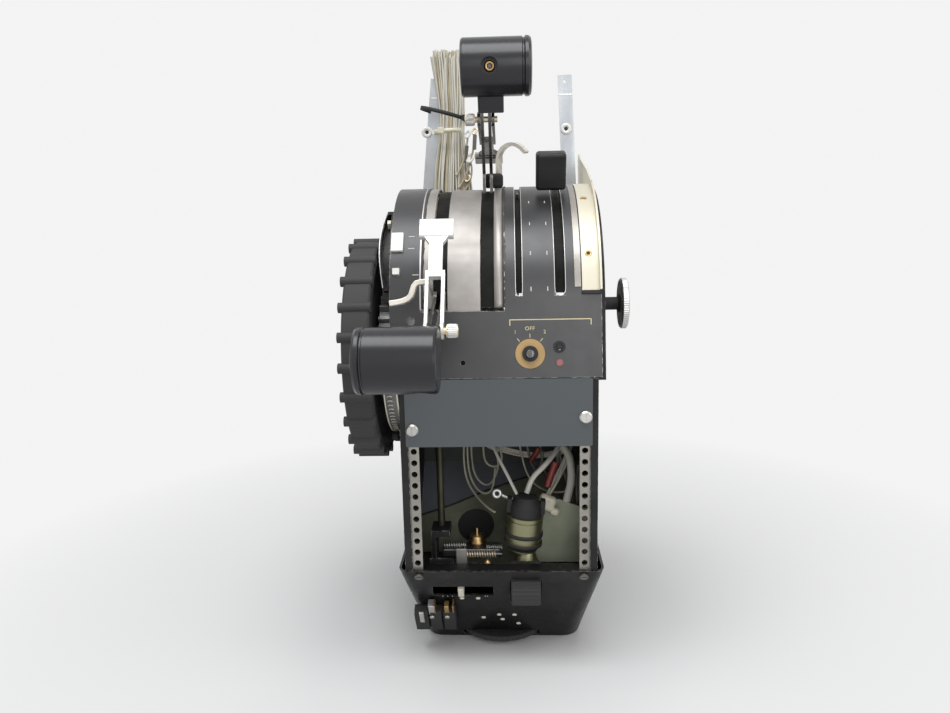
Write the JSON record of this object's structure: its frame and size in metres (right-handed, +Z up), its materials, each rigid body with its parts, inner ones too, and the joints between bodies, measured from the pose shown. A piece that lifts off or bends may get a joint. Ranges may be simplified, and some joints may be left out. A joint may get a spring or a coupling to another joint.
{
  "type": "throttle quadrant",
  "caption": "Aircraft pedestal throttle quadrant with twin throttles, reverser levers, flap lever, trim wheels, a drum cover and an open equipment bay.",
  "frame": {"origin": "Underside of the base plate, straight below the lever shaft, in the middle of the bay's width.", "axes": "+X to the right as the crew see it, +Y forward in the aircraft away from the crew, +Z up."},
  "size_m": [0.2262, 0.3428, 0.5305],
  "materials": {
    "cover_paint": "satin slate grey",
    "housing_paint": "satin black",
    "panel_paint": "satin dark grey",
    "frame_sheet": "satin dark grey",
    "inner_paint": "matt",
    "bare_aluminium": "satin",
    "zinc_steel": "satin",
    "grip_plastic": "glossy black",
    "wheel_plastic": "satin black",
    "black_plastic": "satin black",
    "cream_paint": "satin cream",
    "white_plastic": "semi-gloss white",
    "dial_plastic": "satin tan",
    "lamp_red": "gloss red",
    "olive_plating": "satin olive",
    "primer_green": "matt primer",
    "wire_jacket": "satin off-white"
  },
  "bodies": {
    "root": {"base_plate": "housing_paint", "bay_back_panel": "inner_paint", "bay_harness": "wire_jacket", "bay_side_left": "frame_sheet", "bay_side_right": "frame_sheet", "blank_panel": "panel_paint", "chain_guard": "cream_paint", "closing_rib": "cream_paint", "connector_backshell": "black_plastic", "connector_plug": "olive_plating", "drum_cheek_left": "cover_paint", "drum_cheek_right": "cover_paint", "equipment_rails": "bare_aluminium", "housing_screws": "zinc_steel", "lever_shaft": "zinc_steel", "lever_slot_shield": "bare_aluminium", "panel_studs": "zinc_steel", "primed_bracket": "primer_green", "quadrant_cover": "cover_paint", "rear_deck": "frame_sheet", "rear_strut_left": "bare_aluminium", "rear_strut_right": "bare_aluminium", "rear_wire_bundle": "wire_jacket", "selector_dial": "dial_plastic", "selector_switch": "black_plastic", "side_marker_block": "white_plastic", "sloping_shelf": "inner_paint", "terminal_block": "black_plastic", "test_lamp_bezel": "black_plastic", "trim_conduit": "olive_plating", "trim_gear_bracket": "zinc_steel", "trim_housing": "housing_paint", "trim_mounting_plate": "housing_paint", "trim_scale_housing": "housing_paint", "trim_wheel_axle": "zinc_steel", "upper_deck": "frame_sheet", "warning_light": "lamp_red"},
    "left_throttle": {"left_throttle_arm": "bare_aluminium", "left_throttle_grip": "grip_plastic", "left_reverser_pin": "zinc_steel"},
    "left_reverser": {"left_reverser_lever": "bare_aluminium"},
    "left_latch": {"left_finger_latch": "zinc_steel"},
    "right_throttle": {"right_throttle_arm": "bare_aluminium", "right_throttle_grip": "grip_plastic", "right_reverser_pin": "zinc_steel"},
    "right_reverser": {"right_reverser_lever": "bare_aluminium"},
    "right_latch": {"right_finger_latch": "zinc_steel"},
    "flaps": {"flap_lever": "bare_aluminium", "flap_paddle": "grip_plastic"},
    "flap_indicator": {"flap_pointer": "bare_aluminium"},
    "elevator_wheel": {"elevator_trim_wheel": "wheel_plastic", "trim_sprocket": "zinc_steel"},
    "elevator_indicator": {"trim_pointer": "cream_paint"},
    "rudder_roller": {"rudder_trim_roller": "wheel_plastic"},
    "rudder_indicator": {"rudder_trim_pointer": "cream_paint"},
    "aileron_wheel": {"aileron_trim_wheel": "wheel_plastic"},
    "friction": {"friction_knob": "zinc_steel"},
    "selector": {"selector_shaft": "zinc_steel"},
    "test_cap": {"test_lamp_cap": "black_plastic"},
    "button": {"side_button": "white_plastic"}
  },
  "joints": [
    {"name": "left_throttle_pivot", "type": "hinge", "parent": "root", "child": "left_throttle", "pos_m": [0, 0, 0.29], "axis": [-1, 0, 0], "range_deg": [0, 77]},
    {"name": "right_throttle_pivot", "type": "hinge", "parent": "root", "child": "right_throttle", "pos_m": [0, 0, 0.29], "axis": [-1, 0, 0], "range_deg": [-73.5, 3.5]},
    {"name": "left_reverser_pivot", "type": "hinge", "parent": "left_throttle", "child": "left_reverser", "pos_m": [-0.044, -0.16844, 0.29683], "axis": [1, 0, 0], "range_deg": [0, 75]},
    {"name": "left_latch_slide", "type": "slide", "parent": "left_throttle", "child": "left_latch", "axis": [0, -0.9816, 0.1908], "range_m": [0, 0.004], "stiffness_N_per_m": 300, "springref_m": -0.004},
    {"name": "right_reverser_pivot", "type": "hinge", "parent": "right_throttle", "child": "right_reverser", "pos_m": [-0.0075, -0.04129, 0.45345], "axis": [1, 0, 0], "range_deg": [0, 75]},
    {"name": "right_latch_slide", "type": "slide", "parent": "right_throttle", "child": "right_latch", "axis": [0, -0.0958, 0.9954], "range_m": [0, 0.004], "stiffness_N_per_m": 300, "springref_m": -0.004},
    {"name": "flap_pivot", "type": "hinge", "parent": "root", "child": "flaps", "pos_m": [0, 0, 0.29], "axis": [-1, 0, 0], "range_deg": [-53, 26]},
    {"name": "flap_indicator_pivot", "type": "hinge", "parent": "root", "child": "flap_indicator", "pos_m": [0, 0, 0.29], "axis": [-1, 0, 0], "range_deg": [-54, 27]},
    {"name": "elevator_wheel_turn", "type": "hinge", "parent": "root", "child": "elevator_wheel", "pos_m": [-0.104, -0.058, 0.266], "axis": [-1, 0, 0], "range_deg": [-720, 84]},
    {"name": "elevator_indicator_turn", "type": "hinge", "parent": "root", "child": "elevator_indicator", "pos_m": [0, 0, 0.29], "axis": [-1, 0, 0], "range_deg": [-30, 3.5]},
    {"name": "rudder_roller_turn", "type": "hinge", "parent": "root", "child": "rudder_roller", "pos_m": [0.0205, -0.097, 0.06875], "axis": [1, 0, 0], "range_deg": [-180, 180]},
    {"name": "rudder_indicator_slide", "type": "slide", "parent": "root", "child": "rudder_indicator", "axis": [1, 0, 0], "range_m": [-0.02, 0.02]},
    {"name": "aileron_wheel_turn", "type": "hinge", "parent": "root", "child": "aileron_wheel", "pos_m": [-0.001, -0.041, 0.006], "axis": [0, 0, 1], "range_deg": [-170, 170]},
    {"name": "friction_knob_turn", "type": "hinge", "parent": "root", "child": "friction", "pos_m": [0.09, -0.068, 0.302], "axis": [1, 0, 0], "range_deg": [-150, 150]},
    {"name": "selector_turn", "type": "hinge", "parent": "root", "child": "selector", "pos_m": [0.0255, -0.11503, 0.2695], "axis": [0, -0.9816, 0.1908], "range_deg": [-45, 45]},
    {"name": "test_cap_press", "type": "slide", "parent": "root", "child": "test_cap", "axis": [0, 0.9816, -0.1908], "range_m": [0, 0.001], "stiffness_N_per_m": 500, "springref_m": -0.001},
    {"name": "button_press", "type": "slide", "parent": "root", "child": "button", "axis": [0, 0.9164, -0.4003], "range_m": [0, 0.0015], "stiffness_N_per_m": 500, "springref_m": -0.001}
  ],
  "couplings": [
    {"joint": "flap_indicator_pivot", "follows": "flap_pivot", "ratio": 1},
    {"joint": "elevator_indicator_turn", "follows": "elevator_wheel_turn", "ratio": 0.0416},
    {"joint": "rudder_indicator_slide", "follows": "rudder_roller_turn", "m_per_rad": 0.0063}
  ]
}
